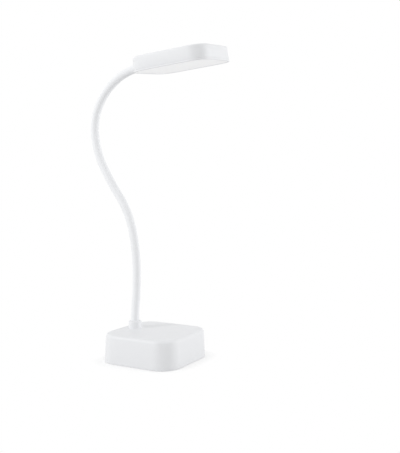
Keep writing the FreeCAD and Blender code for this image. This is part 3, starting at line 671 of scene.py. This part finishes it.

# %% [markdown]
# ## The skin of the neck
# The sleeve is one soft tube that bends anywhere. Here a piece of skin runs from the middle
# of one link to the middle of the next and bends round the joint between them. Geometry
# Nodes turn each centre line into a tube, because a tube along a path is a rule: a round
# profile, carried along the line.

# %% Tube tree


def tube_tree():
    """A node tree that carries a circle along the object's line and closes the ends."""
    tree = bpy.data.node_groups.new("tube_along_line", "GeometryNodeTree")
    face = tree.interface
    face.new_socket("Geometry", in_out="INPUT", socket_type="NodeSocketGeometry")
    face.new_socket("Radius", in_out="INPUT", socket_type="NodeSocketFloat")
    face.new_socket("Sides", in_out="INPUT", socket_type="NodeSocketInt")
    face.new_socket("Skin", in_out="INPUT", socket_type="NodeSocketMaterial")
    face.new_socket("Geometry", in_out="OUTPUT", socket_type="NodeSocketGeometry")
    inside = tree.nodes.new("NodeGroupInput")
    outside = tree.nodes.new("NodeGroupOutput")
    line = tree.nodes.new("GeometryNodeMeshToCurve")
    profile = tree.nodes.new("GeometryNodeCurvePrimitiveCircle")
    tube = tree.nodes.new("GeometryNodeCurveToMesh")
    smooth = tree.nodes.new("GeometryNodeSetShadeSmooth")
    real = tree.nodes.new("GeometryNodeRealizeInstances")
    finish = tree.nodes.new("GeometryNodeSetMaterial")
    tube.inputs["Fill Caps"].default_value = True
    links = tree.links
    links.new(inside.outputs["Geometry"], line.inputs["Mesh"])
    links.new(inside.outputs["Radius"], profile.inputs["Radius"])
    links.new(inside.outputs["Sides"], profile.inputs["Resolution"])
    links.new(line.outputs["Curve"], tube.inputs["Curve"])
    links.new(profile.outputs["Curve"], tube.inputs["Profile Curve"])
    links.new(tube.outputs["Mesh"], smooth.inputs["Geometry"])
    links.new(smooth.outputs["Geometry"], real.inputs["Geometry"])
    links.new(real.outputs["Geometry"], finish.inputs["Geometry"])
    links.new(inside.outputs["Skin"], finish.inputs["Material"])
    links.new(finish.outputs["Geometry"], outside.inputs["Geometry"])
    return tree


TUBE = tube_tree()
print("tube tree of", len(TUBE.nodes), "nodes")

# %% [markdown]
# ## A tube along a line
# The tree is used as a modifier on a mesh that is only a line. Its result is taken over as
# a plain mesh.

# %% Tubes
NECK_SIDES = 40


def tube(name, points, radius, material):
    """A plain tube mesh along points in millimetres."""
    mesh = bpy.data.meshes.new(name)
    edges = [(index, index + 1) for index in range(len(points) - 1)]
    mesh.from_pydata([p * MM for p in points], edges, [])
    piece = bpy.data.objects.new(name, mesh)
    bpy.context.scene.collection.objects.link(piece)
    modifier = piece.modifiers.new("tube", "NODES")
    modifier.node_group = TUBE
    settings = {"Radius": radius * MM, "Sides": NECK_SIDES, "Skin": material}
    for socket in TUBE.interface.items_tree:
        if socket.in_out == "INPUT" and socket.name in settings:
            modifier[socket.identifier] = settings[socket.name]
    evaluated = piece.evaluated_get(bpy.context.evaluated_depsgraph_get())
    plain = bpy.data.meshes.new_from_object(evaluated)
    piece.modifiers.clear()
    piece.data = plain
    return piece


# %% [markdown]
# ## One skin for each joint
# Each skin starts half a link before its joint and ends half a link after it. Two skins meet
# in the middle of a link, where nothing bends, and overlap by a hair so that no seam opens.
# The first and the last run on into the collars, which hide their ends.

# %% Skins over the joints
STEP = 1.6
HIDDEN = 4.0
OVERLAP = 0.05
BLEND_SHARE = 0.42
SKIN_EDGE = 60


def arc_points(arc, low, high):
    """Points along a share of an arc, about a step apart."""
    count = max(2, math.ceil(arc.length * (high - low) / STEP))
    return [arc.point(low + (high - low) * index / count)[0] for index in range(count + 1)]


for number, joint in enumerate(joints, start=1):
    below, above = arcs[number - 1], arcs[number]
    first, last = number == 1, number == len(joints)
    start_share, stop_share = 0.0 if first else 0.5, 1.0 if last else 0.5
    points = arc_points(below, start_share, 1.0) + arc_points(above, 0.0, stop_share)[1:]
    start_heading = below.point(start_share)[1]
    stop_heading = above.point(stop_share)[1]
    points.insert(0, points[0] - along(start_heading) * (HIDDEN if first else OVERLAP))
    points.append(points[-1] + along(stop_heading) * (HIDDEN if last else OVERLAP))
    skin = tube(f"neck_skin_{number}", points, NECK_RADIUS, soft_silicone)
    soften(skin, SKIN_EDGE)
    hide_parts(f"neck_sleeve_{number}", f"neck_sleeve_{number + 1}")
    reach = along(above.heading) * link_length * BLEND_SHARE
    start, end = above.start - reach, above.start + reach
    start * MM
    end * MM
    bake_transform(skin)
print("neck skins", len(joints))

# %% [markdown]
# ## The head's place
# The head hangs on the end of the neck and is rolled a little about it. Its own axes are
# used for all its pieces: Y points back to the neck, Z is up, and the rear wall is at y = 0.

# %% Head placement
forward = along(end_heading)
wall_point = neck_end + forward * (HEAD_COLLAR_HEIGHT + HEAD_SEAT_RISE)
rear = -forward
upward = Vector((1, 0, 0)).cross(rear)
level_axes = Matrix((Vector((1, 0, 0)), rear, upward)).transposed().to_4x4()
HEAD = Matrix.Translation(wall_point) @ Matrix.Rotation(HEAD_ROLL, 4, rear) @ level_axes
HEAD_MIDDLE = HEAD @ Matrix.Translation(Vector((0, -HEAD_DEPTH / 2, 0)))
head_bottom, head_top = -HEAD_HEIGHT / 2, HEAD_HEIGHT / 2
seam = head_bottom + BEZEL_HEIGHT
print("head wall at", [round(value, 1) for value in wall_point])


def head_ring(inset, level):
    lean = (level - head_bottom) * math.tan(HEAD_DRAFT) + inset
    return outline_ring(HEAD_WIDTH - lean * 2, HEAD_DEPTH - lean * 2, HEAD_CORNER - lean, level)


# %% [markdown]
# ## The head's hood
# The hood is the same kind of moulding as the base, only shallow. A hairline groove runs
# where it meets the rim below: both edges are rounded by a third of a millimetre. A round
# boss on the rear wall takes the collar, and the neck's fitting goes through it.

# %% Hood
EDGE = 0.35
HOOD_CEILING = 2.0
HOOD_BEVEL = 0.8
SEAT_REACH = 10.8
NECK_CUT_START = 2.0
NECK_CUT_END = 18.0
hood_ceiling = head_top - HOOD_CEILING
hood_section = [(HEAD_WALL + HOOD_BEVEL, hood_ceiling), (HEAD_WALL, hood_ceiling - HOOD_BEVEL)]
hood_section += [(HEAD_WALL, seam)] + edge_round(EDGE, 4, seam, -1)[::-1]
hood_section += edge_round(HEAD_ROUND, 8, head_top, 1)
hood = join_rings("head_hood", [head_ring(i, z) for i, z in hood_section], HEAD_MIDDLE)
neck_turn = Vector((0, 0, 1)).rotation_difference(forward)
neck_line = Matrix.Translation(neck_end) @ neck_turn.to_matrix().to_4x4()
boss_start = HEAD_COLLAR_HEIGHT
boss = round_bar("seat_boss", HEAD_COLLAR_RADIUS, boss_start, SEAT_REACH, neck_line)
carve(hood, [boss], "UNION")
carve(hood, [round_bar("neck_cutter", THREAD_HOLE, NECK_CUT_START, NECK_CUT_END, neck_line)])
soften(hood)
settle(hood, white_plastic, "head", ["head_housing"])

# %% [markdown]
# ## The rim and the light panel
# The rim closes the hood from below and frames the opal panel, which sits a hair's breadth
# behind it. Its closed section has a lip that centres it in the hood, and a ledge that the
# panel lies on.

# %% Rim
RIM_ROUND = 0.6
RIM_BEVEL = 0.25
LIP_GAP = 0.3
recess = head_bottom + DIFFUSER_INSET + DIFFUSER_THICKNESS
ledge_inset = BEZEL_RIM + BEZEL_LEDGE
lip_inset, lip_top = HEAD_WALL + LIP_GAP, seam + BEZEL_LIP
rim_section = edge_round(EDGE, 4, seam, 1)[::-1] + edge_round(RIM_ROUND, 5, head_bottom, -1)
rim_section += [(BEZEL_RIM - RIM_BEVEL, head_bottom), (BEZEL_RIM, head_bottom + RIM_BEVEL)]
rim_section += [(BEZEL_RIM, recess), (ledge_inset, recess), (ledge_inset, lip_top)]
rim_section += [(lip_inset, lip_top), (lip_inset, seam)]
rim = join_rings("head_rim", [head_ring(i, z) for i, z in rim_section], HEAD_MIDDLE, closed=True)
soften(rim)
settle(rim, white_plastic, "head", ["head_bezel"])

# %% Panel
PANEL_GAP = 0.1
PANEL_BEVEL = 0.3
panel_low = head_bottom + DIFFUSER_INSET
panel_inset = BEZEL_RIM + PANEL_GAP
panel_section = [(panel_inset, recess), (panel_inset, panel_low + PANEL_BEVEL)]
panel_section += [(panel_inset + PANEL_BEVEL, panel_low)]
panel = join_rings("light_panel", [head_ring(i, z) for i, z in panel_section], HEAD_MIDDLE)
soften(panel)
settle(panel, opal, "head", ["diffuser"])

# %% [markdown]
# ## The head's collar
# The head's ring is turned like the base's, but without a flare, and it is set the other way
# round: its foot sits on the boss of the hood and its shoulder points down the neck.

# %% Head collar
HEAD_SHOULDER = 1.0
collar_end = Matrix.Translation(Vector((0, 0, HEAD_COLLAR_HEIGHT)))
head_place = neck_line @ collar_end @ Matrix.Rotation(math.pi, 4, "X")
ring_size = (HEAD_COLLAR_RADIUS, HEAD_COLLAR_HEIGHT, HEAD_SHOULDER)
head_trim = turned_ring("head_trim_ring", *ring_size, head_place)
settle(head_trim, white_plastic, "head", ["head_collar"])

# %% [markdown]
# ## The table
# The lamp stands on a matt white sheet that takes its contact shadow. A lit sheet would show
# a horizon and long shadows, so to the camera, and in reflections, it glows a little where it
# meets the lamp and turns into plain white within the next centimetre and a half. That border
# follows the base: its distance is measured in a rounded square, not in a circle.

# %% Table
TABLE_REACH = 6.0
TABLE_TONE = (0.78, 0.78, 0.78)
TABLE_GLOW = 0.25
CLEAR_NEAR = 0.051
CLEAR_FAR = 0.065
SQUARENESS = 4
BLACK = (0, 0, 0)


def studio_table():
    """A square sheet under the lamp that fades to white away from it."""
    mesh = bpy.data.meshes.new("studio_table")
    signs = ((-1, -1), (1, -1), (1, 1), (-1, 1))
    mesh.from_pydata([(x * TABLE_REACH, y * TABLE_REACH, 0) for x, y in signs], [], [(0, 1, 2, 3)])
    table = bpy.data.objects.new("studio_table", mesh)
    bpy.context.scene.collection.objects.link(table)
    sheet = Finish("matt_sheet", Roughness=1.0, Specular_IOR_Level=0.0, Emission_Strength=1.0)
    x, y, _ = sheet.axes()
    reach = (abs(x) ** SQUARENESS + abs(y) ** SQUARENESS) ** (1 / SQUARENESS)
    limits = {"From Min": CLEAR_NEAR, "From Max": CLEAR_FAR}
    clear = sheet.value("ShaderNodeMapRange", 0, None, {"Value": reach, **limits})
    shown = sheet.shown()
    glow = shown * (TABLE_GLOW + clear * (1 - TABLE_GLOW))
    sheet.feed("Base Color", sheet.blend(shown * clear, TABLE_TONE, BLACK))
    sheet.feed("Emission Color", sheet.blend(glow, BLACK, (1, 1, 1)))
    table.data.materials.append(sheet.material)


studio_table()
print("table of", TABLE_REACH * 2, "m, plain white past", CLEAR_FAR, "m")

# %% [markdown]
# ## The world
# A white studio lights the lamp from all sides. Shown at the same strength it would come out
# grey, so the world has two: white for what the camera and the reflections see, and a lower,
# plain level for the light that falls on the lamp.

# %% World
AMBIENT = 0.69


def white_world():
    """A world that shows white and lights at the ambient level."""
    world = bpy.data.worlds.new("white_studio")
    bpy.context.scene.world = world
    world.use_nodes = True
    nodes = Nodes(world.node_tree)
    background = world.node_tree.nodes["Background"]
    background.inputs["Color"].default_value = (1, 1, 1, 1)
    strength = AMBIENT + nodes.shown() * (1 - AMBIENT)
    world.node_tree.links.new(strength.socket, background.inputs["Strength"])


white_world()
print("world lights at", AMBIENT)

# %% [markdown]
# ## Soft boxes
# Two soft boxes light the two sides that are seen from well out to the left and right, so the
# rounded corner between them falls into a soft grey. The left one is the smaller and stands
# higher, and the collar throws its short shadow across the top. The right one is wide and
# low. A faint third one from above keeps the top as light as the walls.

# %% Lamps
SUBJECT = Vector((0, 0, 0.17))


def soft_box(name, azimuth, elevation, distance, width, height, power):
    """A flat area lamp that faces the lamp from a compass direction in degrees."""
    turn, rise = math.radians(azimuth), math.radians(elevation)
    level = math.cos(rise)
    direction = Vector((math.cos(turn) * level, math.sin(turn) * level, math.sin(rise)))
    light = bpy.data.lights.new(name, "AREA")
    light.shape = "RECTANGLE"
    light.size, light.size_y = width, height
    light.energy = power
    lamp = bpy.data.objects.new(name, light)
    lamp.location = SUBJECT + direction * distance
    lamp.rotation_euler = (-direction).to_track_quat("-Z", "Y").to_euler()
    bpy.context.scene.collection.objects.link(lamp)


for name, azimuth, elevation, distance, width, height, power in (
    ("left_box", 144, 19, 4.2, 0.6, 0.6, 59.0),
    ("right_box", 302, 9, 3.0, 1.6, 0.8, 30.0),
    ("top_box", 30, 89, 1.6, 1.2, 1.2, 2.4),
):
    soft_box(name, azimuth, elevation, distance, width, height, power)
    print(f"{name}: {power} W at {distance} m")

# %% [markdown]
# ## The camera
# The lamp is seen from its front left, a little above its middle, through a lens that is
# slightly longer than normal.

# %% Camera
CAMERA_PLACE = Vector((-609.6, -397.1, 187.8)) * MM
CAMERA_VIEW = Vector((0.87502, 0.48245, -0.03961))
SENSOR_HEIGHT = 36.0
FOCAL_LENGTH = 48.12
lens = bpy.data.cameras.new("camera")
lens.sensor_fit = "VERTICAL"
lens.sensor_height = SENSOR_HEIGHT
lens.lens = FOCAL_LENGTH
camera = bpy.data.objects.new("camera", lens)
camera.location = CAMERA_PLACE
camera.rotation_euler = CAMERA_VIEW.to_track_quat("-Z", "Y").to_euler()
bpy.context.scene.collection.objects.link(camera)
bpy.context.scene.camera = camera
bpy.context.scene.view_settings.view_transform = "Standard"
print(f"camera {CAMERA_PLACE.length:.2f} m from the lamp's foot")

# %% [markdown]
# ## The sizes
# A small helper gives a box's two corners as short lists of metres.

# %% Sizes and finish


def plain(bounds):
    """A box's two corners as short lists of metres."""
    return [[round(float(value), 6) for value in corner] for corner in bounds]
